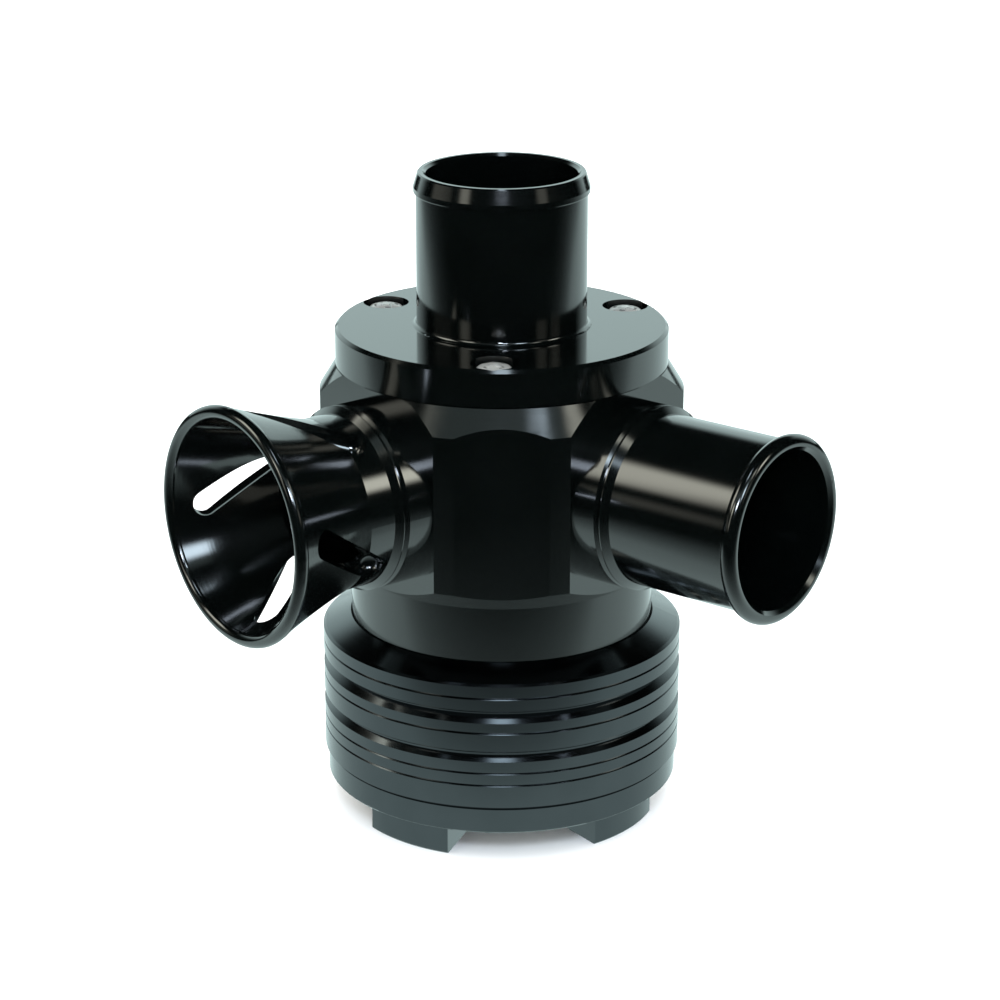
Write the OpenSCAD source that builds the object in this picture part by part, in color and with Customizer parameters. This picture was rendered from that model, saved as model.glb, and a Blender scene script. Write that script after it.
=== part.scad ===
// Blow off valve with two outlets: an inlet cover on a milled body, a hose pipe and a trumpet
// screwed into the body's bosses, a finned cap on its neck and a sprung piston inside.
// Millimetres. The valve's axis is Z, the lugs stand on Z = 0 and the front flat faces -Y.

/* [Inlet cover] */
// Radius of the inlet spigot's barrel
inlet_r = 12.5; // [11:0.1:14]
// Wall of the inlet spigot
inlet_wall = 1.45; // [1:0.05:2]
// Height of the spigot above the flange
inlet_h = 22.8; // [16:0.1:30]
// Height of the hose bead at the spigot's mouth
bead_h = 3.1; // [2:0.1:4]
// How far the bead stands out from the barrel
bead_step = 0.35; // [0.2:0.05:0.6]
// How far the bead tapers in towards its lip
bead_taper = 0.6; // [0.3:0.05:0.9]
// Radius of the flange
flange_r = 24.5; // [24.3:0.1:26]
// Thickness of the flange
flange_t = 5.6; // [4.5:0.1:7]
// Chamfer round the flange's top edge
flange_chamfer = 0.5; // [0.2:0.1:0.8]
// Fillet between the spigot and the flange
foot_fillet = 0.7; // [0.3:0.1:1.2]
// Depth of the cover's register inside the body
register_h = 3.6; // [3:0.1:4.5]

/* [Cover screws] */
// Number of screws
screw_count = 3; // [3:1:6]
// Distance of the screws from the flange's edge
screw_inset = 3.8; // [3.6:0.1:4.1]
// Turn of the first screw from the front
screw_turn = -3; // [-8:1:8]
// Radius of a screw's thread
screw_r = 1.5; // [1.2:0.1:1.6]
// Length of a screw under its head
screw_l = 10; // [7:0.5:13]
// Radius of a screw's pan head
head_r = 2.6; // [2.3:0.1:2.9]
// Height of a screw's pan head
head_h = 1.9; // [1.4:0.1:2.2]
// Radius of the counterbores for the heads
counterbore_r = 3.4; // [3.1:0.1:3.6]
// Depth of the counterbores
counterbore_h = 2.4; // [1.8:0.1:3]

/* [Body] */
// Radius of the body's turned blank
body_r = 26.9; // [26.5:0.1:28]
// Height of the straight part of the body
flats_h = 23.4; // [20:0.1:30]
// Height of the chamfer cone below the flange
top_cone_h = 3.9; // [2.5:0.1:5]
// Height of the cone between the body and its neck
low_cone_h = 3.4; // [2:0.1:5]
// Width of the milled front flat
front_flat_w = 13.6; // [8:0.1:16]
// How far the neck lies inside the finned cap's radius
neck_inset = 4.4; // [3.8:0.1:5]
// Height of the neck that shows above the finned cap
neck_h = 8.2; // [5:0.1:14]
// Length of the neck inside the finned cap
neck_thread_l = 8.6; // [6:0.1:10]
// Distance of the valve chamber's wall from the screws
chamber_land = 3.2; // [2.4:0.1:3.6]
// How far the piston's cylinder lies inside the chamber's wall
chamber_step = 1.5; // [1:0.1:2]
// Length of the piston's cylinder
bore_l = 20; // [16:0.5:21]

/* [Ports] */
// Angle of each port from the front
port_angle = 51.5; // [48:0.5:56]
// Distance of the port flats from the axis
port_flat = 23.2; // [22.9:0.1:23.8]
// Radius of the port bosses
boss_r = 13.5; // [13.2:0.1:14]
// Length of a boss beyond its flat
boss_l = 4.4; // [3:0.1:8]
// Chamfer on each side of the joint between boss and fitting
joint_chamfer = 0.45; // [0.2:0.05:0.7]
// Bore radius of the ports
port_bore_r = 10; // [8:0.1:10.3]
// Radius of the fittings' screwed spigots
spigot_r = 12; // [11.6:0.1:12.2]
// Length of the fittings' screwed spigots
spigot_l = 7; // [5:0.1:7.4]
// Height of the fittings' collars
collar_h = 1; // [0.8:0.1:2]

/* [Recirculation pipe] */
// Radius of the pipe's barrel
pipe_r = 12.55; // [11.5:0.05:13]
// Wall of the pipe
pipe_wall = 1.05; // [0.8:0.05:1.3]
// Length of the pipe beyond its boss
pipe_l = 23; // [16:0.5:40]
// Radius of the bead's round section
pipe_bead = 1.25; // [0.8:0.05:1.5]
// How far the bead stands out from the barrel
pipe_bead_step = 1.1; // [0.4:0.05:1.2]
// Chamfer inside the pipe's mouth
pipe_mouth = 0.6; // [0.3:0.05:0.8]

/* [Trumpet] */
// Radius of the trumpet's barrel
trumpet_r = 12.6; // [11.9:0.1:13.2]
// Radius of the trumpet's rim
rim_r = 17.4; // [15.5:0.1:22]
// Length of the trumpet beyond its boss
trumpet_l = 21.1; // [18:0.1:30]
// How far the flare's curve dips below a straight cone
flare_sag = 0.25; // [0.1:0.05:1]
// Length of the trumpet's straight barrel
trumpet_straight = 5.6; // [3:0.1:8]
// Wall of the trumpet where its flare starts
trumpet_wall = 2.4; // [2:0.05:2.5]
// Radius of the rolled lip
lip_r = 1; // [0.7:0.05:1.1]
// Number of flutes
flute_count = 4; // [3:1:6]
// Width of a flute
flute_w = 3.8; // [2.5:0.1:5]
// Depth of a flute at its middle, below the barrel's radius
flute_depth = 2; // [1.5:0.1:2.4]
// Skew of the flutes from the trumpet's axis
flute_skew = 36; // [25:0.5:42]
// Tilt of the flutes outwards along the flare
flute_tilt = 9; // [0:0.5:12]
// Turn of the flutes round the trumpet's axis
flute_turn = -12; // [-45:1:45]
// Distance of a flute's inner end from the boss
flute_start = 2.5; // [2:0.1:5]
// Distance of a flute's outer end from the rim
flute_stop = 3.5; // [3:0.1:7]

/* [Finned cap] */
// Radius of the finned cap
cap_r = 27; // [26.5:0.1:28.5]
// Height of the finned cap
cap_h = 15.7; // [14:0.1:18]
// Height of the cap's top cone
cap_cone_h = 1.9; // [1:0.1:3]
// Height of the upper fin
fin_1_h = 4.2; // [3:0.1:5]
// Height of the second fin
fin_2_h = 4.6; // [3:0.1:5]
// Depth of the upper groove
groove_1 = 1.1; // [0.6:0.05:1.4]
// Depth of the lower groove
groove_2 = 0.85; // [0.5:0.05:1.4]
// Height of a groove's undercut
groove_lip = 0.6; // [0.3:0.05:0.8]
// Depth of the scribed lines on the fins
scribe = 0.18; // [0.1:0.02:0.3]

/* [End cap and shims] */
// Thickness of the thin shim
shim_thin_t = 1.9; // [1:0.1:3]
// Thickness of the thick shim
shim_thick_t = 3.6; // [2:0.1:5]
// Edge chamfer of the shims
shim_chamfer = 0.16; // [0.1:0.02:0.3]
// Radius of the end cap's plate
plate_r = 26.5; // [25.5:0.1:27]
// Thickness of the end cap's plate
plate_t = 4.15; // [3.5:0.05:6]
// Chamfer on the plate's upper edge
plate_chamfer = 0.45; // [0.2:0.05:0.8]
// How far the end cap's screwed spigot lies inside the neck's radius
end_spigot_step = 3.6; // [3.2:0.1:4]
// How far the end cap's cup lies inside the piston's cylinder
cup_step = 2.8; // [2.5:0.1:3.2]
// Height of the floor above the plate's underside
floor_t = 6; // [5:0.1:7]
// Radius of the tapped vacuum port
vacuum_r = 4.2; // [3:0.1:5]
// Number of lugs
lug_count = 4; // [3:1:6]
// Height of the lugs
lug_h = 5.2; // [3:0.1:8]
// Outer radius of the lugs
lug_r = 23.9; // [22:0.1:25]
// Radial width of the lugs
lug_w = 8.4; // [5:0.1:10]
// Arc of each lug
lug_arc = 35; // [25:1:45]
// Turn of the lugs from the diagonals
lug_turn = 8; // [-20:1:20]

/* [Piston and spring] */
// Length of the piston
piston_l = 32; // [28:0.5:34]
// Travel of the piston
piston_travel = 11; // [6:0.5:11]
// Thickness of the piston's crown
crown_t = 3.5; // [3:0.1:5]
// Wall of the piston's skirt
skirt_wall = 2.92; // [2.7:0.02:3.2]
// Distance of the face seal from the inlet's bore
seal_land = 0.55; // [0.3:0.05:1]
// Distance of the face seal from the piston's edge
seal_inset = 1.52; // [1:0.02:2]
// Depth of the face seal's groove
seal_depth = 1.5; // [1:0.1:2]
// How far the face seal stands proud
seal_proud = 0.4; // [0.2:0.05:0.6]
// Height of the guide ring
guide_h = 2.5; // [1.5:0.1:3]
// Depth of the grooves in the skirt
skirt_groove = 1.3; // [1:0.05:1.5]
// Wire radius of the spring
wire_r = 0.9; // [0.6:0.05:1.1]
// Room between the spring and the piston's skirt
spring_room = 0.9; // [0.5:0.1:1.3]
// Turns of the spring
spring_turns = 7; // [5:0.5:9]
// Thickness of the spring seat
seat_t = 1; // [0.6:0.1:1.5]

/* [Edges and clearances] */
// Break on sharp turned edges
edge_break = 0.2; // [0.1:0.05:0.25]
// Radial clearance of screwed joints
thread_gap = 0.05; // [0.02:0.01:0.1]
// Radial clearance of the piston in its cylinder
piston_gap = 0.08; // [0.05:0.01:0.1]
// Radial clearance of rings and seals
ring_gap = 0.03; // [0.02:0.01:0.05]
// Gap between the closed piston's seal and its seat
seat_gap = 0.1; // [0.05:0.05:0.3]
// Radial clearance of the cover's register
register_gap = 0.15; // [0.05:0.05:0.2]

/* [Hidden] */
$fn = 96;
eps = 0.01;
big = 4 * body_r;

black = "#17191c";
slate = "#2a2e33";
steel = "#c9ccd0";
rubber = "#1f1f20";
ptfe = "#e6e1d3";

// Heights of the stack, from the lugs up
plate_z = lug_h;
shim_thick_z = plate_z + plate_t;
shim_thin_z = shim_thick_z + shim_thick_t;
cap_z = shim_thin_z + shim_thin_t;
cap_top_z = cap_z + cap_h;
neck_top_z = cap_top_z + neck_h;
flats_z = neck_top_z + low_cone_h;
flats_top_z = flats_z + flats_h;
body_top_z = flats_top_z + top_cone_h;
flange_top_z = body_top_z + flange_t;
inlet_top_z = flange_top_z + inlet_h;
body_z = cap_top_z - neck_thread_l;
chamber_z = body_z + bore_l;
port_z = flats_z + flats_h / 2;
floor_z = plate_z + floor_t;

// Radii of the valve's inside, from the flange inwards
screw_circle_r = flange_r - screw_inset;
chamber_r = screw_circle_r - chamber_land;
bore_r = chamber_r - chamber_step;
piston_r = bore_r - piston_gap;
skirt_r = piston_r - skirt_wall;
spring_r = skirt_r - spring_room - wire_r;
cup_r = bore_r - cup_step;
neck_r = cap_r - neck_inset;
end_spigot_r = neck_r - end_spigot_step;
inlet_bore_r = inlet_r - inlet_wall;
seal_in_r = inlet_bore_r + seal_land;
seal_out_r = piston_r - seal_inset;

// Cover and screws
seat_z = body_top_z - register_h;
head_z = flange_top_z - counterbore_h;
tap_depth = screw_l - (head_z - body_top_z) + 1;
recess_w = 0.35 * screw_r;
recess_l = 1.2 * head_r;
recess_h = 0.55 * head_h;

// Distance of the boss ends from the axis, where the fittings begin
boss_end = port_flat + boss_l;
front_flat = sqrt(pow(body_r, 2) - pow(front_flat_w / 2, 2));
pipe_end = boss_end + pipe_l;
rim_end = boss_end + trumpet_l;

// Arc of the trumpet's flare, from the barrel to the rim
flare_z = boss_end + trumpet_straight;
flare_h = rim_end - lip_r - flare_z;
flare_step = rim_r - trumpet_r;
flare_chord = sqrt(pow(flare_h, 2) + pow(flare_step, 2));
flare_r = pow(flare_chord, 2) / (8 * flare_sag) + flare_sag / 2;
flare_lean = (flare_r - flare_sag) / flare_chord;
flare_centre = [
  trumpet_r + flare_step / 2 + flare_lean * flare_h,
  flare_z + flare_h / 2 - flare_lean * flare_step
];

// Gland of each ring seal: the groove's inner radius and the wall that it meets
ring_1 = 1.5;
ring_2 = 1.1;
fitting_gland = spigot_r - ring_2;
fitting_gland_z = boss_end - 1.6;
cover_gland = chamber_r - ring_1;
cover_gland_z = body_top_z - 1.75;
cap_gland = neck_r - ring_1;
cap_gland_z = body_z + 2;
end_gland = end_spigot_r - ring_1;
end_gland_z = cap_z + 2.5;
gland_room = 0.3;

// Piston, closed, and what it carries
seal_top_z = seat_z - seat_gap;
piston_top_z = seal_top_z - seal_proud;
piston_z = piston_top_z - piston_l;
crown_z = piston_top_z - crown_t;
skirt_gland = bore_r - skirt_groove;
piston_gland_z = piston_z + 2;
guide_z = piston_z + 4.5;
stop_z = piston_z - piston_travel - seat_gap;
stop_r = bore_r - 0.5;
spring_z = floor_z + seat_t;
spring_h = crown_z - spring_z;
spring_pitch = spring_h / spring_turns;

// Carries a shape drawn along Z out along a port: -1 is the trumpet's side, 1 the pipe's
module at_port(side) {
  translate([0, 0, port_z])
    rotate([0, 0, side * port_angle])
      rotate([90, 0, 0])
        children();
}

// Carries a shape to each screw's place
module at_screws() {
  for (i = [0 : screw_count - 1])
    rotate([0, 0, screw_turn - 90 + i * 360 / screw_count])
      translate([screw_circle_r, 0, 0])
        children();
}

// Ring between two radii, given as a profile to revolve
module band(r_in, r_out, z, h) {
  translate([r_in, z])
    square([r_out - r_in, h]);
}

// Round seal that fills the gland between a groove and the wall that it meets
module oring(r_in, r_out, z) {
  section = (r_out - r_in) / 2 - ring_gap;
  translate([0, 0, z])
    rotate_extrude()
      translate([(r_in + r_out) / 2, 0])
        circle(section);
}

// Groove for a round seal, cut from a profile that is revolved
module gland(r_in, r_out, z) {
  width = r_out - r_in + gland_room;
  band(r_in, r_out + 1, z - width / 2, width);
}

module inlet_cover() {
  color(black)
    difference() {
      rotate_extrude()
        difference() {
          union() {
            polygon([
              [0, body_top_z],
              [flange_r - edge_break, body_top_z],
              [flange_r, body_top_z + edge_break],
              [flange_r, flange_top_z - flange_chamfer],
              [flange_r - flange_chamfer, flange_top_z],
              [0, flange_top_z]
            ]);
            band(0, chamber_r - register_gap, seat_z, register_h + eps);
            band(0, inlet_r, flange_top_z - eps, inlet_h - bead_h + 2 * eps);
            polygon([
              [0, inlet_top_z - bead_h],
              [inlet_r + bead_step - edge_break, inlet_top_z - bead_h],
              [inlet_r + bead_step, inlet_top_z - bead_h + edge_break],
              [inlet_r + bead_step, inlet_top_z - 0.7 * bead_h],
              [inlet_r + bead_step - bead_taper, inlet_top_z - edge_break],
              [inlet_r + bead_step - bead_taper - edge_break, inlet_top_z],
              [0, inlet_top_z]
            ]);
            difference() {
              band(0, inlet_r + foot_fillet, flange_top_z - eps, foot_fillet + eps);
              translate([inlet_r + foot_fillet, flange_top_z + foot_fillet])
                circle(foot_fillet);
            }
          }
          band(0, inlet_bore_r, 0, inlet_top_z + 1);
          polygon([
            [0, inlet_top_z - 0.3 * inlet_wall],
            [inlet_bore_r, inlet_top_z - 0.3 * inlet_wall],
            [inlet_bore_r + 0.3 * inlet_wall, inlet_top_z + eps],
            [0, inlet_top_z + eps]
          ]);
          gland(cover_gland, chamber_r, cover_gland_z);
        }
      at_screws() {
        translate([0, 0, head_z])
          cylinder(r = counterbore_r, h = flange_t);
        cylinder(r = screw_r + thread_gap, h = big);
      }
    }
}

module cover_screws() {
  dome_r = 2.2 * head_r;
  color(steel)
    at_screws()
      translate([0, 0, head_z])
        difference() {
          union() {
            intersection() {
              cylinder(r = head_r, h = head_h);
              translate([0, 0, head_h - dome_r])
                sphere(dome_r);
            }
            translate([0, 0, -screw_l])
              cylinder(r = screw_r, h = screw_l + eps);
          }
          for (turn = [45, 135])
            rotate([0, 0, turn])
              translate([-recess_l / 2, -recess_w / 2, head_h - recess_h])
                cube([recess_l, recess_w, head_h]);
        }
}

module cover_oring() {
  color(rubber)
    oring(cover_gland, chamber_r, cover_gland_z);
}

// Turned blank: threaded neck, lower cone, straight body and the cone under the flange
module body_blank() {
  thread_lead = 0.8;
  rotate_extrude()
    difference() {
      polygon([
        [0, body_z],
        [neck_r - thread_lead, body_z],
        [neck_r, body_z + thread_lead],
        [neck_r, neck_top_z],
        [body_r, flats_z],
        [body_r, flats_top_z],
        [flange_r, body_top_z],
        [0, body_top_z]
      ]);
      gland(cap_gland, neck_r + thread_gap, cap_gland_z);
    }
}

// Block that mills a flat at a distance from the axis, seen from the front
module flat_cutter(distance) {
  translate([-big / 2, -distance - big, 0])
    cube([big, big, big]);
}

module valve_body() {
  color(black)
    difference() {
      union() {
        difference() {
          body_blank();
          flat_cutter(front_flat);
          for (side = [-1, 1])
            rotate([0, 0, side * port_angle])
              flat_cutter(port_flat);
        }
        for (side = [-1, 1])
          at_port(side)
            rotate_extrude()
              polygon([
                [0, bore_r],
                [boss_r, bore_r],
                [boss_r, boss_end - joint_chamfer],
                [boss_r - joint_chamfer, boss_end],
                [0, boss_end]
              ]);
      }
      translate([0, 0, body_z - eps])
        cylinder(r = bore_r, h = bore_l + 2 * eps);
      translate([0, 0, chamber_z])
        cylinder(r = chamber_r, h = big);
      for (side = [-1, 1])
        at_port(side) {
          cylinder(r = port_bore_r, h = big);
          translate([0, 0, boss_end - spigot_l - thread_gap])
            cylinder(r = spigot_r + thread_gap, h = big);
        }
      at_screws()
        translate([0, 0, body_top_z - tap_depth])
          cylinder(r = screw_r + thread_gap, h = big);
    }
}

// Collar and screwed spigot that both fittings share, as a profile along the port
module fitting_root(barrel_r) {
  union() {
    band(0, spigot_r, boss_end - spigot_l, spigot_l + eps);
    polygon([
      [0, boss_end],
      [boss_r - joint_chamfer, boss_end],
      [boss_r, boss_end + joint_chamfer],
      [boss_r, boss_end + 0.6 * collar_h],
      [barrel_r, boss_end + 1.5 * collar_h],
      [0, boss_end + 1.5 * collar_h]
    ]);
  }
}

module recirculation_pipe() {
  bore = pipe_r - pipe_wall;
  neck_z = boss_end + 2 * collar_h;
  color(black)
    at_port(1)
      rotate_extrude()
        difference() {
          union() {
            fitting_root(pipe_r);
            band(0, pipe_r, boss_end, pipe_l - pipe_bead);
            translate([pipe_r + pipe_bead_step - pipe_bead, pipe_end - pipe_bead])
              circle(pipe_bead);
          }
          band(0, port_bore_r, 0, neck_z + eps);
          polygon([
            [0, neck_z],
            [port_bore_r, neck_z],
            [bore, neck_z + 2 * (bore - port_bore_r)],
            [bore, pipe_end - pipe_mouth],
            [bore + pipe_mouth, pipe_end],
            [bore + pipe_mouth, pipe_end + 1],
            [0, pipe_end + 1]
          ]);
          gland(fitting_gland, spigot_r + thread_gap, fitting_gland_z);
        }
}

module recirculation_oring() {
  color(rubber)
    at_port(1)
      oring(fitting_gland, spigot_r + thread_gap, fitting_gland_z);
}

// Outline of the flare: the area under its arc, out to the rim
module flare_area() {
  difference() {
    band(0, rim_r, flare_z, flare_h);
    translate(flare_centre)
      circle(flare_r, $fn = 720);
  }
}

// Slot milled from outside with a ball-nosed cutter, at a skew, that runs out through the flare
module flute() {
  cutter_r = flute_w / 2;
  inner_z = boss_end + flute_start + cutter_r;
  outer_z = rim_end - flute_stop - cutter_r;
  run = (outer_z - inner_z) / cos(flute_skew) / cos(flute_tilt);
  translate([trumpet_r - flute_depth + cutter_r, 0, (inner_z + outer_z) / 2])
    rotate([-flute_skew, 0, 0])
      rotate([0, flute_tilt, 0])
        union() {
          translate([0, 0, -run / 2])
            cylinder(r = cutter_r, h = run);
          translate([0, -cutter_r, -run / 2])
            cube([rim_r, flute_w, run]);
          for (end = [-run / 2, run / 2])
            translate([0, 0, end]) {
              sphere(cutter_r);
              rotate([0, 90, 0])
                cylinder(r = cutter_r, h = rim_r);
            }
        }
}

module trumpet() {
  neck_z = boss_end + collar_h;
  color(black)
    at_port(-1)
      difference() {
        rotate_extrude()
          union() {
            difference() {
              union() {
                fitting_root(trumpet_r);
                band(0, trumpet_r, boss_end, trumpet_straight + eps);
                flare_area();
              }
              band(0, port_bore_r, 0, neck_z + eps);
              polygon([
                [0, neck_z],
                [port_bore_r, neck_z],
                [trumpet_r - trumpet_wall, flare_z],
                [rim_r - 2 * lip_r, rim_end - lip_r],
                [rim_r - 2 * lip_r, rim_end + 1],
                [0, rim_end + 1]
              ]);
              gland(fitting_gland, spigot_r + thread_gap, fitting_gland_z);
            }
            translate([rim_r - lip_r, rim_end - lip_r])
              circle(lip_r);
          }
        for (i = [0 : flute_count - 1])
          rotate([0, 0, flute_turn + i * 360 / flute_count])
            flute();
      }
}

module trumpet_oring() {
  color(rubber)
    at_port(-1)
      oring(fitting_gland, spigot_r + thread_gap, fitting_gland_z);
}

// Groove between two fins: a short undercut above and a 45 degree flank below
module fin_groove(z_top, depth) {
  polygon([
    [cap_r + 1, z_top + edge_break],
    [cap_r, z_top + edge_break],
    [cap_r - edge_break, z_top],
    [cap_r - depth, z_top - 0.5 * groove_lip],
    [cap_r - depth, z_top - groove_lip],
    [cap_r, z_top - groove_lip - depth],
    [cap_r + 1, z_top - groove_lip - depth]
  ]);
}

// Fine line turned into a fin
module scribe_line(z) {
  polygon([
    [cap_r + eps, z + scribe],
    [cap_r - scribe, z],
    [cap_r + eps, z - scribe]
  ]);
}

module finned_cap() {
  fin_1_z = cap_top_z - cap_cone_h - fin_1_h;
  fin_2_top_z = fin_1_z - groove_lip - groove_1;
  fin_2_z = fin_2_top_z - fin_2_h;
  color(slate)
    rotate_extrude()
      difference() {
        polygon([
          [end_spigot_r + thread_gap, cap_z],
          [cap_r - shim_chamfer, cap_z],
          [cap_r, cap_z + shim_chamfer],
          [cap_r, cap_top_z - cap_cone_h - edge_break],
          [cap_r - 2 * edge_break, cap_top_z - cap_cone_h + edge_break / 2],
          [neck_r + thread_gap + edge_break, cap_top_z],
          [neck_r + thread_gap, cap_top_z - edge_break],
          [neck_r + thread_gap, body_z],
          [end_spigot_r + thread_gap, body_z]
        ]);
        fin_groove(fin_1_z, groove_1);
        fin_groove(fin_2_z, groove_2);
        scribe_line(fin_1_z + 0.5 * fin_1_h);
        scribe_line(fin_2_top_z - 0.35 * fin_2_h);
      }
}

module cap_oring() {
  color(rubber)
    oring(cap_gland, neck_r + thread_gap, cap_gland_z);
}

// Flat ring with chamfered edges that sets the spring's preload
module shim(z, t) {
  rotate_extrude()
    polygon([
      [end_spigot_r + thread_gap, z],
      [cap_r - shim_chamfer, z],
      [cap_r, z + shim_chamfer],
      [cap_r, z + t - shim_chamfer],
      [cap_r - shim_chamfer, z + t],
      [end_spigot_r + thread_gap, z + t]
    ]);
}

module shim_thin() {
  color(slate)
    shim(shim_thin_z, shim_thin_t);
}

module shim_thick() {
  color(slate)
    shim(shim_thick_z, shim_thick_t);
}

module end_cap() {
  spigot_top_z = body_z - 0.5;
  color(slate)
    union() {
      rotate_extrude()
        difference() {
          union() {
            polygon([
              [0, plate_z],
              [plate_r - edge_break, plate_z],
              [plate_r, plate_z + edge_break],
              [plate_r, shim_thick_z - plate_chamfer],
              [plate_r - plate_chamfer, shim_thick_z],
              [0, shim_thick_z]
            ]);
            band(0, end_spigot_r, plate_z + eps, spigot_top_z - plate_z);
            band(0, stop_r, plate_z + eps, stop_z - plate_z - eps);
          }
          band(0, vacuum_r, 0, big);
          band(0, cup_r, floor_z, big);
          gland(end_gland, end_spigot_r + thread_gap, end_gland_z);
        }
      for (i = [0 : lug_count - 1])
        rotate([0, 0, lug_turn + 45 - 90 - lug_arc / 2 + i * 360 / lug_count])
          rotate_extrude(angle = lug_arc)
            polygon([
              [lug_r - lug_w + edge_break, 0],
              [lug_r - edge_break, 0],
              [lug_r, edge_break],
              [lug_r, lug_h + eps],
              [lug_r - lug_w, lug_h + eps],
              [lug_r - lug_w, edge_break]
            ]);
    }
}

module end_cap_oring() {
  color(rubber)
    oring(end_gland, end_spigot_r + thread_gap, end_gland_z);
}

module piston() {
  nose_chamfer = 0.6;
  color(steel)
    rotate_extrude()
      difference() {
        polygon([
          [0, piston_z],
          [piston_r, piston_z],
          [piston_r, piston_top_z - nose_chamfer],
          [piston_r - nose_chamfer, piston_top_z],
          [0, piston_top_z]
        ]);
        band(0, skirt_r, 0, crown_z);
        band(seal_in_r, seal_out_r, piston_top_z - seal_depth, big);
        band(skirt_gland, bore_r + 1, guide_z, guide_h);
        gland(skirt_gland, bore_r, piston_gland_z);
      }
}

module face_seal() {
  color(rubber)
    rotate_extrude()
      band(seal_in_r + ring_gap, seal_out_r - ring_gap, piston_top_z - seal_depth,
        seal_depth + seal_proud);
}

module guide_ring() {
  color(ptfe)
    rotate_extrude()
      band(skirt_gland + ring_gap, bore_r - ring_gap, guide_z + ring_gap,
        guide_h - 2 * ring_gap);
}

module piston_oring() {
  color(rubber)
    oring(skirt_gland, bore_r, piston_gland_z);
}

// Level section through the spring's wire, worked out from its round section and its pitch
module wire_section(steps) {
  half_turn = 360 * wire_r / spring_pitch;
  function swing(i) = half_turn * (2 * i / steps - 1);
  function thick(i) = sqrt(max(0, pow(wire_r, 2) - pow(spring_pitch * swing(i) / 360, 2)));
  function at(r, a) = [r * cos(a), r * sin(a)];
  polygon(concat(
    [for (i = [0 : steps]) at(spring_r + thick(i), swing(i))],
    [for (i = [steps - 1 : -1 : 1]) at(spring_r - thick(i), swing(i))]
  ));
}

module spring() {
  slices_a_turn = 16;
  section_steps = 8;
  color(steel)
    translate([0, 0, spring_z])
      linear_extrude(height = spring_h, twist = -360 * spring_turns,
        slices = slices_a_turn * spring_turns, $fn = 2 * section_steps)
        wire_section(section_steps);
}

module spring_seat() {
  color(steel)
    translate([0, 0, floor_z])
      difference() {
        cylinder(r = cup_r - 2 * piston_gap, h = seat_t);
        translate([0, 0, -eps])
          cylinder(r = spring_r - 2 * wire_r, h = seat_t + 2 * eps);
      }
}

inlet_cover();
cover_screws();
cover_oring();
valve_body();
recirculation_pipe();
recirculation_oring();
trumpet();
trumpet_oring();
finned_cap();
cap_oring();
shim_thin();
shim_thick();
end_cap();
end_cap_oring();
piston();
face_seal();
guide_ring();
piston_oring();
spring();
spring_seat();
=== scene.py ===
# %% [markdown]
# A blow off valve in black anodise
#
# A blow off valve lets boost air out of a turbocharged engine's intake when the throttle shuts.
# Its solids come ready made from a CAD model, so this lesson adds what solids lack: a camera, a
# studio, the finish of each metal and the few pieces that only show up close.
# The frame is loaded first. Nothing added may make the valve bigger.

# %% Load the frame
import math

import bmesh
import bpy
from mathutils import Matrix, Vector


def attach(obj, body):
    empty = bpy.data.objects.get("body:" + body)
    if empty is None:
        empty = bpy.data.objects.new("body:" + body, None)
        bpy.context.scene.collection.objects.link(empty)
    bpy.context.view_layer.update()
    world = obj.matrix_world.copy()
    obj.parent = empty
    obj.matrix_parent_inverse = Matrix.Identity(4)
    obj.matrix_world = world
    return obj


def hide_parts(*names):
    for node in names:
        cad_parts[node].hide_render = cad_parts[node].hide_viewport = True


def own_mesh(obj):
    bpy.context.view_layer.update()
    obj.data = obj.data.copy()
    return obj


MM = 0.001
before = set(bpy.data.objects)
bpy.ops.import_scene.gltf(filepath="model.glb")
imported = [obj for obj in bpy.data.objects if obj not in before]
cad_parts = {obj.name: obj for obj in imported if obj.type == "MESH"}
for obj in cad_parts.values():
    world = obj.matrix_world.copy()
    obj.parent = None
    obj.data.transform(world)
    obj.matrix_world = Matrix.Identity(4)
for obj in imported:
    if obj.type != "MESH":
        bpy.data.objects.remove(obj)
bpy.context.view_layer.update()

# %% [markdown]
# The camera stands a little above the valve and looks straight at its milled front flat.
# Its place comes from fitting rims, flange and fins to their outlines in the photograph. A long
# lens far away keeps the two ports nearly the same size, as they are there.

# %% The camera
aim = Vector((-0.26, 0.0, 47.49)) * MM
eye_distance = 445.57 * MM
eye_rise = math.radians(19.26)
camera_data = bpy.data.cameras.new("photo_camera")
camera_data.sensor_width = 36.0
camera_data.lens = 107.17
camera = bpy.data.objects.new("photo_camera", camera_data)
bpy.context.scene.collection.objects.link(camera)
towards_eye = Vector((0.0, -math.cos(eye_rise), math.sin(eye_rise)))
camera.location = aim + eye_distance * towards_eye
camera.rotation_euler = (-towards_eye).to_track_quat("-Z", "Y").to_euler()
bpy.context.scene.camera = camera
print("camera at", [round(x / MM, 1) for x in camera.location], "mm")

# %% [markdown]
# Shader maths reads badly as a list of nodes and links, so one small class wraps a socket.
# Python's operators on it add Math nodes, also when the number comes first, as in 1 - mask.
# Every other node comes from its one method, which sets the node's settings before its sockets,
# because a setting such as a noise's dimensions decides which sockets there are.


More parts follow.
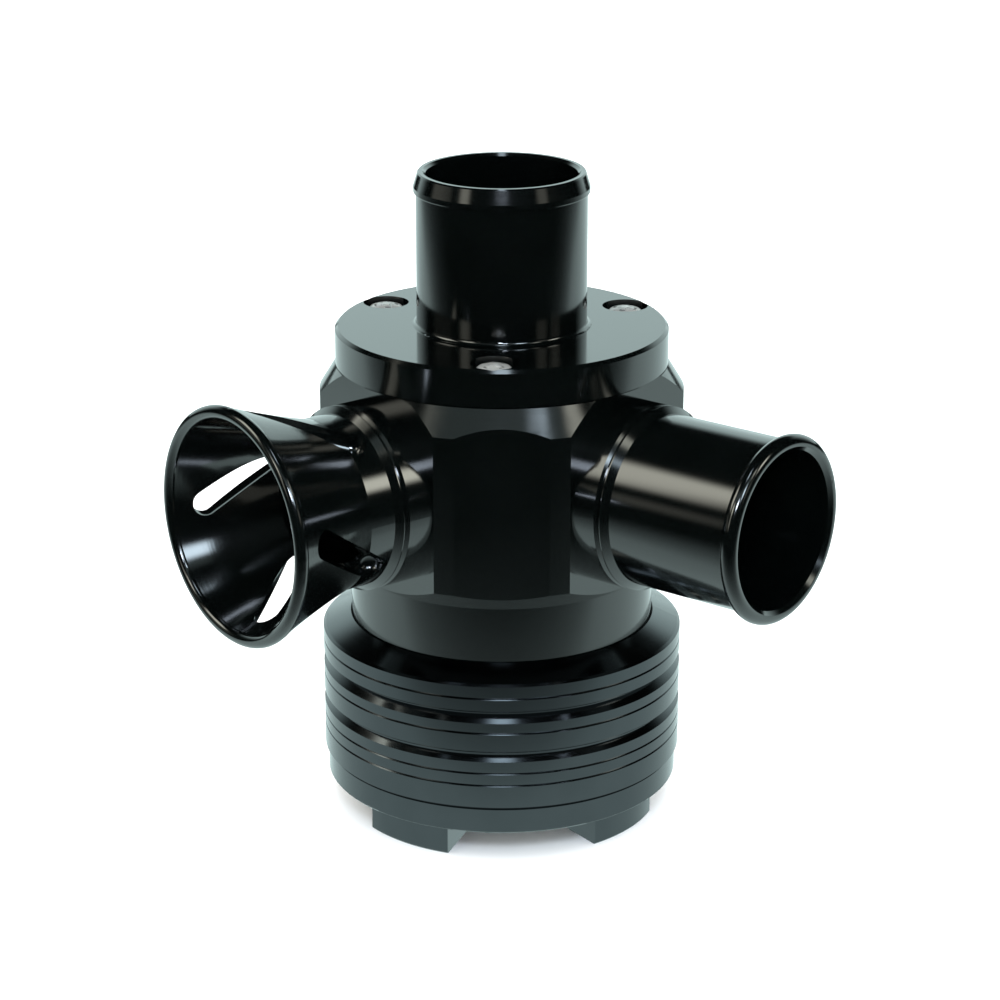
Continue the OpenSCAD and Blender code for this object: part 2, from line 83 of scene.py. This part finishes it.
# %% Sockets that can be added and multiplied
class Wire:
    """One output of a node tree, or the bare tree where no socket is given."""

    def __init__(self, tree, socket=None):
        self.tree = tree
        self.socket = socket

    def node(self, kind, settings=None, sockets=None, output=0):
        """Adds a node: its settings first, then the values or links of its sockets."""
        made = self.tree.nodes.new(kind)
        for name, value in (settings or {}).items():
            if name == "stops":
                set_stops(made.color_ramp, value)
            else:
                setattr(made, name, value)
        for name, value in (sockets or {}).items():
            if isinstance(value, Wire):
                self.tree.links.new(value.socket, made.inputs[name])
            else:
                made.inputs[name].default_value = value
        return Wire(self.tree, made.outputs[output] if made.outputs else None)

    def math(self, operation, first, second):
        return self.node("ShaderNodeMath", {"operation": operation}, {0: first, 1: second})

    def __add__(self, other):
        return self.math("ADD", self, other)

    def __radd__(self, other):
        return self.math("ADD", other, self)

    def __sub__(self, other):
        return self.math("SUBTRACT", self, other)

    def __rsub__(self, other):
        return self.math("SUBTRACT", other, self)

    def __mul__(self, other):
        return self.math("MULTIPLY", self, other)

    def __rmul__(self, other):
        return self.math("MULTIPLY", other, self)

    def __truediv__(self, other):
        return self.math("DIVIDE", self, other)

    def __rtruediv__(self, other):
        return self.math("DIVIDE", other, self)


def set_stops(ramp, stops):
    """Gives a colour ramp these (place, colour) stops."""
    while len(ramp.elements) < len(stops):
        ramp.elements.new(1.0)
    for element, (place, colour) in zip(ramp.elements, stops):
        element.position = place
        element.color = colour


def between(wire, low, high):
    """A soft step from 0 at low to 1 at high."""
    settings = {"interpolation_type": "SMOOTHSTEP"}
    sockets = {"Value": wire, "From Min": low, "From Max": high}
    return wire.node("ShaderNodeMapRange", settings, sockets)


def new_finish(name):
    """A material with an empty node tree."""
    finish = bpy.data.materials.new(name)
    finish.use_nodes = True
    finish.node_tree.nodes.clear()
    return finish, Wire(finish.node_tree)


print("operators ready")

# %% [markdown]
# Black anodise has hardly any colour of its own: what the eye reads is the room it reflects.
# The photograph's room is a pale backdrop behind the valve, dark above it and dark behind the
# camera. A sky that is bright all round would turn every face grey, so the sky here is bright only
# in a band low down at the back. A few soft panels stand for the room's windows and lamps, each
# drawn in the sky from two angles, and they give the streaks on the pipe, the bead and the fins.
# The camera itself sees plain white, and even light from all round reaches the floor.

# %% The studio sky
sky = bpy.data.worlds.new("studio_sky")
bpy.context.scene.world = sky
sky.use_nodes = True
sky.node_tree.nodes.clear()
root = Wire(sky.node_tree)
direction = root.node("ShaderNodeTexCoord", output="Generated")
rightward = root.node("ShaderNodeSeparateXYZ", sockets={"Vector": direction}, output="X")
backward = root.node("ShaderNodeSeparateXYZ", sockets={"Vector": direction}, output="Y")
upward = root.node("ShaderNodeSeparateXYZ", sockets={"Vector": direction}, output="Z")
degree = math.radians(1.0)
azimuth = root.math("ARCTAN2", rightward, 0.0 - backward) / degree
elevation = root.math("ARCSINE", upward, 0.0) / degree


def inside(wire, low, high, soft):
    """1 from low to high and 0 beyond, over edges this soft."""
    return between(wire, low - soft, low + soft) * (1.0 - between(wire, high - soft, high + soft))


is_camera = root.node("ShaderNodeLightPath", output="Is Camera Ray")
is_diffuse = root.node("ShaderNodeLightPath", output="Is Diffuse Ray")
in_mirror = (1.0 - is_camera) * (1.0 - is_diffuse)
dark_room = 0.006
floor_light = 2.1
backdrop_light = 1.45
backdrop_sides = (0.42, 0.80)
backdrop_top = (0.35, 0.55)
backdrop = between(backward, *backdrop_sides) * (1.0 - between(upward, *backdrop_top))
room = backdrop * backdrop_light + dark_room
white = (1.0, 1.0, 1.0, 1.0)
plain = is_camera + is_diffuse * floor_light
light = root.node("ShaderNodeBackground", sockets={"Color": white, "Strength": plain})
cyan = (0.79, 1.0, 0.99, 1.0)
warm = (1.0, 1.0, 0.86, 1.0)
cool = (0.72, 0.88, 1.0, 1.0)
panels = {
    "left window": ((-102, -76), (24, 46), 4.5, warm),
    "left window's sill": ((-102, -70), (6, 14), 0.5, warm),
    "left lamp": ((-57, -42), (26, 37), 6.0, warm),
    "left lamp's foot": ((-57, -44), (10, 24), 1.8, warm),
    "right window": ((70, 84), (20, 33), 6.5, warm),
    "right lamp": ((49, 60), (36, 48), 3.2, warm),
    "right lamp's foot": ((48, 62), (12, 24), 0.7, warm),
    "spot": ((20, 34), (30, 42), 14.0, cool),
    "ceiling": ((-60, 60), (39, 52), 0.35, cyan),
    "top light": ((-12, 12), (64, 78), 7.0, cool),
}
panel_edge = 4.0
glows = [(room, cyan)]
for azimuths, elevations, strength, colour in panels.values():
    patch = inside(azimuth, *azimuths, panel_edge) * inside(elevation, *elevations, panel_edge)
    glows.append((patch * strength, colour))
for strength, colour in glows:
    sockets = {"Color": colour, "Strength": strength * in_mirror}
    glow = root.node("ShaderNodeBackground", sockets=sockets)
    light = root.node("ShaderNodeAddShader", sockets={0: light, 1: glow})
root.node("ShaderNodeOutputWorld", sockets={"Surface": light})
bpy.context.scene.view_settings.view_transform = "Standard"
print("sky panels:", ", ".join(panels))

# %% [markdown]
# The floor is a plain pale sheet to the camera and to diffuse light. Upright faces seen from above
# mirror the floor and not the sky, so what mirrors see there decides how dark the front of the valve
# looks. To mirrors the floor is a glow with a painted pool of light: bright close to the valve, which
# greys the fins and the end cap, falling off towards the camera, which keeps the front flat black, and
# bright again behind the valve, which lights both edges of the barrel.


# %% The floor
def link_mesh(name, shape):
    """Turns a bmesh into an object of this name, placed at the origin."""
    mesh = bpy.data.meshes.new(name)
    shape.to_mesh(mesh)
    shape.free()
    made = bpy.data.objects.new(name, mesh)
    bpy.context.scene.collection.objects.link(made)
    return made


floor_half = 3.0
shape = bmesh.new()
bmesh.ops.create_grid(shape, x_segments=1, y_segments=1, size=floor_half)
floor = link_mesh("floor", shape)

bright_aside = 20 * MM
bright_behind = 150 * MM
bright_squeeze = 1.5
floor_finish, root = new_finish("pale_floor")
place = root.node("ShaderNodeTexCoord", output="Object")
sideways = root.node("ShaderNodeSeparateXYZ", sockets={"Vector": place}, output="X") - bright_aside
forward = bright_behind - root.node("ShaderNodeSeparateXYZ", sockets={"Vector": place}, output="Y")
forward = bright_squeeze * root.math("MAXIMUM", forward, 0.0)
from_bright = root.math("SQRT", sideways * sideways + forward * forward, 0.0)
dark_edge = 600 * MM
fade = [
    (0.45, 1.0), (0.50, 0.90), (0.53, 0.62), (0.56, 0.42),
    (0.61, 0.24), (0.67, 0.10), (0.75, 0.045), (0.83, 0.008),
]
fade_stops = [(spot, (shade, shade, shade, 1.0)) for spot, shade in fade]
bright = root.node("ShaderNodeValToRGB", {"stops": fade_stops}, {"Fac": from_bright / dark_edge})
painted_glow_strength = 1.2
sheet = root.node("ShaderNodeBsdfDiffuse", sockets={"Color": (0.97, 0.97, 0.97, 1.0)})
# Mirror rays see the floor as a glowing emission, a painted pool of light that fades away from the valve;
# the camera and diffuse light see the plain sheet.
painted_floor_glow = root.node("ShaderNodeEmission", sockets={"Color": cyan, "Strength": bright * painted_glow_strength})
is_glossy = root.node("ShaderNodeLightPath", output="Is Glossy Ray")
floor_mix = root.node("ShaderNodeMixShader", sockets={0: is_glossy, 1: sheet, 2: painted_floor_glow})
root.node("ShaderNodeOutputMaterial", sockets={"Surface": floor_mix})
floor.data.materials.append(floor_finish)
print("floor spans", 2 * floor_half, "m")

# %% [markdown]
# One lamp is left: a bluish flash as wide as a hand, held above the camera, which sparkles on the
# edges at the front and inside the trumpet. It is a real lamp and not a panel in the sky, because
# it stands close enough for its glint to shift from piece to piece.

# %% The flash
body_middle = Vector((0.0, 0.0, 54.0)) * MM
flash_data = bpy.data.lights.new("flash", "AREA")
flash_data.shape = "RECTANGLE"
flash_data.size = 110 * MM
flash_data.size_y = 70 * MM
flash_data.energy = 1.0
flash_data.color = (0.75, 0.86, 1.0)
flash = bpy.data.objects.new("flash", flash_data)
flash.location = Vector((0.0, -430.0, 320.0)) * MM
flash.rotation_euler = (body_middle - flash.location).to_track_quat("-Z", "Y").to_euler()
bpy.context.scene.collection.objects.link(flash)
print("flash at", [round(x / MM) for x in flash.location], "mm")

# %% [markdown]
# Every metal piece here was turned on a lathe, and a lathe leaves fine rings: along a barrel they
# follow the axis, on a face they follow the radius. Both come from where a point lies about
# the piece's own axis, so one helper works out that length and radius for any axis.
# The rings are a one dimensional noise, since real feed marks are close but never even.

# %% Rings that follow a lathe's axis
port_turn = math.radians(51.5)
port_height = 53.85 * MM
upright = ((0.0, 0.0, 1.0), (0.0, 0.0, 0.0))
pipe_axis = ((math.sin(port_turn), -math.cos(port_turn), 0.0), (0.0, 0.0, port_height))
trumpet_axis = ((-math.sin(port_turn), -math.cos(port_turn), 0.0), (0.0, 0.0, port_height))


def lathe_place(root, axis):
    """Where a point lies along the axis and how far from it, both in millimetres."""
    along_axis, centre = axis
    place = root.node("ShaderNodeTexCoord", output="Object")
    arm = root.node("ShaderNodeVectorMath", {"operation": "SUBTRACT"}, {0: place, 1: centre})
    along = root.node(
        "ShaderNodeVectorMath", {"operation": "DOT_PRODUCT"}, {0: arm, 1: along_axis}, output="Value"
    )
    turned = root.node("ShaderNodeVectorMath", {"operation": "CROSS_PRODUCT"}, {0: arm, 1: along_axis})
    radius = root.node("ShaderNodeVectorMath", {"operation": "LENGTH"}, {0: turned}, output="Value")
    return place, along / MM, radius / MM


def feed_marks(root, along, radius, pitch):
    """Uneven rings about a millimetre pitch, from 0 to 1."""
    settings = {"noise_dimensions": "1D"}
    grain = {"Scale": 1.0, "Detail": 2.0}
    rings = root.node("ShaderNodeTexNoise", settings, {"W": along / pitch, **grain})
    facing = root.node("ShaderNodeTexNoise", settings, {"W": radius / pitch, **grain})
    return (rings + facing) / 2.0


def cloud(root, place, size_mm):
    """A soft cloudy pattern with patches of this size, from 0 to 1."""
    sockets = {"Vector": place, "Scale": 1.0 / (size_mm * MM), "Detail": 3.0}
    return root.node("ShaderNodeTexNoise", {"noise_dimensions": "3D"}, sockets)


def two_tone(root, mask, first, second):
    """Mixes two colours by a mask."""
    settings = {"data_type": "RGBA"}
    sockets = {"Factor": mask, 6: (*first, 1.0), 7: (*second, 1.0)}
    return root.node("ShaderNodeMix", settings, sockets, output=2)


def raised(root, height, depth_mm):
    """A normal that follows a height from 0 to 1, this deep."""
    sockets = {"Strength": 1.0, "Distance": depth_mm * MM, "Height": height}
    return root.node("ShaderNodeBump", sockets=sockets)


def coat(root, sockets):
    """Closes a material with one principled surface."""
    surface = root.node("ShaderNodeBsdfPrincipled", sockets=sockets)
    root.node("ShaderNodeOutputMaterial", sockets={"Surface": surface})


print("port axis:", [round(x, 4) for x in pipe_axis[0]])

# %% [markdown]
# Gloss black anodise covers the inlet cover, the body, the pipe and the trumpet. The dyed layer
# is glassy and almost without colour, so its gloss is what shows: a little more than glass has,
# slightly softened by the feed marks under it. A faint cloudiness in the roughness keeps the
# long reflections from looking like plastic.


# %% Gloss black anodise
def gloss_black(name, axis, mark_depth):
    """Dyed black and glossy, turned about this axis, with feed marks this deep in millimetres."""
    finish, root = new_finish(name)
    place, along, radius = lathe_place(root, axis)
    marks = feed_marks(root, along, radius, pitch=0.22)
    haze = cloud(root, place, size_mm=7.0)
    tone = two_tone(root, haze, (0.0005, 0.0009, 0.0008), (0.0012, 0.0019, 0.0018))
    sockets = {
        "Base Color": tone,
        "Roughness": 0.07 + 0.04 * haze + 0.04 * marks,
        "Normal": raised(root, marks, mark_depth),
        "IOR": 1.68,
    }
    coat(root, sockets)
    return finish


gloss_upright = gloss_black("gloss_black_upright", upright, mark_depth=0.0012)
gloss_pipe = gloss_black("gloss_black_pipe", pipe_axis, mark_depth=0.0012)
gloss_trumpet = gloss_black("gloss_black_trumpet", trumpet_axis, mark_depth=0.0040)
print("finishes:", gloss_upright.name, gloss_pipe.name, gloss_trumpet.name)

# %% [markdown]
# The finned cap, its shims and the end cap are anodised too, over a slightly rougher turned face.
# More of the metal shows through the dye, so they mirror the floor more strongly than the body and
# read as slate. A dark metal gives that: its colour is the strength of its reflection.


# %% Satin slate anodise
def satin_slate(name):
    """Dark satin metal, turned about the valve's axis."""
    finish, root = new_finish(name)
    place, along, radius = lathe_place(root, upright)
    marks = feed_marks(root, along, radius, pitch=0.30)
    haze = cloud(root, place, size_mm=5.0)
    sockets = {
        "Base Color": two_tone(root, haze, (0.058, 0.064, 0.068), (0.072, 0.078, 0.083)),
        "Metallic": 1.0,
        "Roughness": 0.11 + 0.05 * haze + 0.05 * marks,
        "Normal": raised(root, marks, depth_mm=0.0012),
    }
    coat(root, sockets)
    return finish


slate = satin_slate("satin_slate")
print("finish:", slate.name)

# %% [markdown]
# The inner pieces are bare: a turned aluminium piston, bright steel for the spring, its seat and
# the screws, black rubber seals and a pale plastic guide ring. They show only through the bores,
# but each still gets the marks that its material has.


# %% Bare metal, rubber and plastic
def bare_metal(name, dull, bright, rough, pitch, depth_mm):
    """Turned metal without a coating."""
    finish, root = new_finish(name)
    place, along, radius = lathe_place(root, upright)
    marks = feed_marks(root, along, radius, pitch)
    smear = cloud(root, place, size_mm=2.5)
    sockets = {
        "Base Color": two_tone(root, smear, dull, bright),
        "Metallic": 1.0,
        "Roughness": rough + 0.12 * smear + 0.10 * marks,
        "Normal": raised(root, marks, depth_mm),
    }
    coat(root, sockets)
    return finish


def soft_matt(name, first, second, rough, grain_mm, depth_mm):
    """Rubber or plastic with a fine moulded grain."""
    finish, root = new_finish(name)
    place = root.node("ShaderNodeTexCoord", output="Object")
    grain = cloud(root, place, grain_mm)
    patches = cloud(root, place, size_mm=8.0 * grain_mm)
    sockets = {
        "Base Color": two_tone(root, patches, first, second),
        "Roughness": rough + 0.15 * grain,
        "Normal": raised(root, grain, depth_mm),
    }
    coat(root, sockets)
    return finish


aluminium = bare_metal(
    "turned_aluminium", (0.60, 0.60, 0.61), (0.74, 0.74, 0.75), rough=0.16, pitch=0.18, depth_mm=0.004
)
steel = bare_metal(
    "bright_steel", (0.52, 0.52, 0.51), (0.68, 0.68, 0.67), rough=0.14, pitch=0.40, depth_mm=0.002
)
rubber = soft_matt(
    "seal_rubber", (0.010, 0.010, 0.010), (0.020, 0.020, 0.020), rough=0.55, grain_mm=0.15, depth_mm=0.010
)
plastic = soft_matt(
    "guide_plastic", (0.70, 0.66, 0.57), (0.82, 0.79, 0.71), rough=0.40, grain_mm=0.25, depth_mm=0.006
)
print("finishes:", aluminium.name, steel.name, rubber.name, plastic.name)

# %% [markdown]
# Each CAD node keeps its own shape, which is right, and only trades its plain material for one
# of these finishes.

# %% Dress the CAD nodes
dressed = {
    gloss_upright: ["inlet_cover", "valve_body"],
    gloss_pipe: ["recirculation_pipe"],
    gloss_trumpet: ["trumpet"],
    slate: ["finned_cap", "shim_thin", "shim_thick", "end_cap"],
    aluminium: ["piston"],
    steel: ["spring", "spring_seat", "cover_screws"],
    plastic: ["guide_ring"],
    rubber: [
        "cover_oring", "recirculation_oring", "trumpet_oring", "cap_oring", "end_cap_oring", "face_seal",
        "piston_oring",
    ],
}
for finish, names in dressed.items():
    for name in names:
        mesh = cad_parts[name].data
        mesh.materials.clear()
        mesh.materials.append(finish)
print("dressed:", sum(len(names) for names in dressed.values()), "nodes")

# %% [markdown]
# The spring is coiled from round wire, and its last turns lie close and are ground flat. A spin
# with a small step along its axis sweeps a circle of edges into a coil, so three spins in a row
# give the close end, the open turns and the other close end. Two cuts grind the ends.

# %% The spring
wire_radius = 0.9 * MM
coil_radius = 11.2 * MM
spring_low = 12.2 * MM
spring_high = 61.85 * MM
close_turns = 1.25
open_turns = 5.5
steps_per_turn = 48
close_spacing = 2.04
close_rise = close_spacing * wire_radius
open_rise = (spring_high - spring_low - 2 * close_turns * close_rise) / open_turns

shape = bmesh.new()
stand = Matrix.Translation((coil_radius, 0.0, spring_low)) @ Matrix.Rotation(math.pi / 2, 4, "X")
bmesh.ops.create_circle(shape, segments=14, radius=wire_radius, matrix=stand)
ring = [*shape.verts, *shape.edges]
for turns, rise in ((close_turns, close_rise), (open_turns, open_rise), (close_turns, close_rise)):
    steps = round(turns * steps_per_turn)
    swept = bmesh.ops.spin(
        shape, geom=ring, cent=(0, 0, 0), axis=(0, 0, 1), dvec=(0, 0, turns * rise / steps),
        angle=2 * math.pi * turns, steps=steps, use_merge=False, use_duplicate=False,
    )
    ring = swept["geom_last"]
for height, side in ((spring_low, 1.0), (spring_high, -1.0)):
    everything = [*shape.verts, *shape.edges, *shape.faces]
    bmesh.ops.bisect_plane(
        shape, geom=everything, plane_co=(0, 0, height), plane_no=(0, 0, side), clear_inner=True
    )
bmesh.ops.holes_fill(shape, edges=shape.edges[:], sides=0)
bmesh.ops.recalc_face_normals(shape, faces=shape.faces[:])
for face in shape.faces:
    face.smooth = len(face.verts) == 4
spring = link_mesh("coil_spring", shape)
spring.data.materials.append(steel)
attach(spring, "housing")
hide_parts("spring")
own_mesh(spring)
print("spring faces:", len(spring.data.polygons))

# %% [markdown]
# Three pan head screws hold the cover, sunk in counterbores. Plated steel is grainy and scatters
# more light than polished metal, so they shine even where only the black barrel is in the mirror.
# The cross recess is what the eye looks for, so it is real geometry. One spin turns a profile into
# a screw, the thread's ridges included. Flat cuts then draw a cross on its dome, and the faces
# inside the cross are pushed down and drawn in, as a driver's tip is tapered.


# %% Zinc plate and a screw's profile
def zinc_plate(name):
    """Grainy bright plating."""
    finish, root = new_finish(name)
    place = root.node("ShaderNodeTexCoord", output="Object")
    grain = cloud(root, place, size_mm=0.12)
    stain = cloud(root, place, size_mm=1.6)
    sockets = {
        "Base Color": two_tone(root, stain, (0.24, 0.25, 0.24), (0.48, 0.48, 0.46)),
        "Metallic": 0.35 + 0.25 * stain,
        "Roughness": 0.22 + 0.20 * grain,
        "Normal": raised(root, grain, depth_mm=0.006),
    }
    coat(root, sockets)
    return finish


zinc = zinc_plate("zinc_plate")
head_height = 2.25
thread_radius = 1.5
thread_depth = 0.3
thread_pitch = 0.5
screw_length = 10.0
head_profile = [
    (2.5, 0.0), (2.6, 0.1), (2.6, 1.35), (2.52, 1.6), (2.28, 1.82), (1.8, 2.0), (1.2, 2.14), (0.6, 2.23),
]
profile = [(0.0, -screw_length), (thread_radius - thread_depth, -screw_length)]
for ridge in range(1, round(screw_length / thread_pitch)):
    height = ridge * thread_pitch - screw_length
    profile.append((thread_radius, height - thread_pitch / 2))
    profile.append((thread_radius - thread_depth, height))
profile += [(thread_radius, -0.1), (thread_radius, 0.0), *head_profile, (0.0, head_height)]
print("screw profile points:", len(profile))

# %% The cover screws
recess_width = 0.8
recess_length = 3.4
recess_depth = 1.3
recess_taper = 0.6
dome_low = 1.75
screw_sides = 40
weld = 0.001 * MM
shape = bmesh.new()
outline = [shape.verts.new((radius * MM, 0.0, height * MM)) for radius, height in profile]
lines = [shape.edges.new(pair) for pair in zip(outline, outline[1:])]
bmesh.ops.spin(
    shape, geom=[*outline, *lines], cent=(0, 0, 0), axis=(0, 0, 1), angle=2 * math.pi, steps=screw_sides,
    use_merge=True,
)
bmesh.ops.remove_doubles(shape, verts=shape.verts[:], dist=weld)
bmesh.ops.recalc_face_normals(shape, faces=shape.faces[:])


def dome_faces(screw):
    """The faces of the screw's rounded top."""
    return [face for face in screw.faces if face.calc_center_median().z > dome_low * MM]


for way in (Vector((1, 0, 0)), Vector((0, 1, 0))):
    for size in (recess_width, recess_length):
        for side in (-0.5, 0.5):
            faces = dome_faces(shape)
            rims = {edge for face in faces for edge in face.edges}
            corners = {corner for face in faces for corner in face.verts}
            cut = way * side * size * MM
            bmesh.ops.bisect_plane(shape, geom=[*corners, *rims, *faces], plane_co=cut, plane_no=way)
cross = []
for face in dome_faces(shape):
    across = sorted(abs(x) for x in face.calc_center_median().xy)
    if across[0] < recess_width / 2 * MM and across[1] < recess_length / 2 * MM:
        cross.append(face)
pushed = bmesh.ops.extrude_face_region(shape, geom=cross)
pushed_verts = [item for item in pushed["geom"] if isinstance(item, bmesh.types.BMVert)]
to_recess_floor = Matrix.Translation((0.0, 0.0, (recess_depth - head_height) * MM))
drawn_in = (recess_taper, recess_taper, 0.0)
bmesh.ops.scale(shape, vec=drawn_in, verts=pushed_verts, space=to_recess_floor)
bmesh.ops.recalc_face_normals(shape, faces=shape.faces[:])
print("faces of one screw:", len(shape.faces), "of them in the cross:", len(cross))

# %% Set the screws in the cover
screw_circle = 20.7
head_low = 72.65
first_screw = math.radians(-93.0)
more_screws = 2
more_screws_turn = math.radians(240.0)
cross_turn = Matrix.Rotation(math.radians(45.0), 4, "Z")
set_out = Matrix.Translation((screw_circle * MM, 0.0, head_low * MM))
set_in = Matrix.Rotation(first_screw, 4, "Z") @ set_out
bmesh.ops.transform(shape, matrix=set_in @ cross_turn, verts=shape.verts[:])
bmesh.ops.spin(
    shape, geom=[*shape.verts, *shape.edges, *shape.faces], cent=(0, 0, 0), axis=(0, 0, 1),
    angle=more_screws_turn, steps=more_screws, use_merge=False, use_duplicate=True,
)
sharp_edge = math.radians(32.0)
for face in shape.faces:
    face.smooth = True
for edge in shape.edges:
    edge.smooth = edge.calc_face_angle(0.0) < sharp_edge
screws = link_mesh("pan_head_screws", shape)
screws.data.materials.append(zinc)
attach(screws, "housing")
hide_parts("cover_screws")
print("screw faces:", len(screws.data.polygons))

# %% [markdown]
# The vacuum line screws into the middle of the end cap, from below. The solid has a plain hole
# there, which is right for fitting things to it, and here a thread is wound onto its wall: four
# vertices make the ridge, and a spin with a step along the axis sweeps it into a helix.

# %% The thread in the vacuum port
port_low = 5.2
port_high = 11.2
port_pitch = 1.25
port_radius = 4.2
ridge = [(0.05, -0.58), (-0.45, -0.10), (-0.45, 0.10), (0.05, 0.58)]
ridge_half = 0.6
port_start = port_low + ridge_half
port_rise = port_high - port_low - 2 * ridge_half
port_turns = port_rise / port_pitch
shape = bmesh.new()
corners = [shape.verts.new(((port_radius + r) * MM, 0.0, (port_start + z) * MM)) for r, z in ridge]
loop = [shape.edges.new((corners[i - 1], corners[i])) for i in range(len(corners))]
port_steps = round(port_turns * steps_per_turn)
bmesh.ops.spin(
    shape, geom=[*corners, *loop], cent=(0, 0, 0), axis=(0, 0, 1),
    dvec=(0, 0, port_rise / port_steps * MM), angle=2 * math.pi * port_turns, steps=port_steps,
    use_merge=False, use_duplicate=False,
)
bmesh.ops.holes_fill(shape, edges=shape.edges[:], sides=0)
bmesh.ops.recalc_face_normals(shape, faces=shape.faces[:])
thread = link_mesh("port_thread", shape)
thread.data.materials.append(slate)
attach(thread, "housing")
print("thread turns:", round(port_turns, 2))
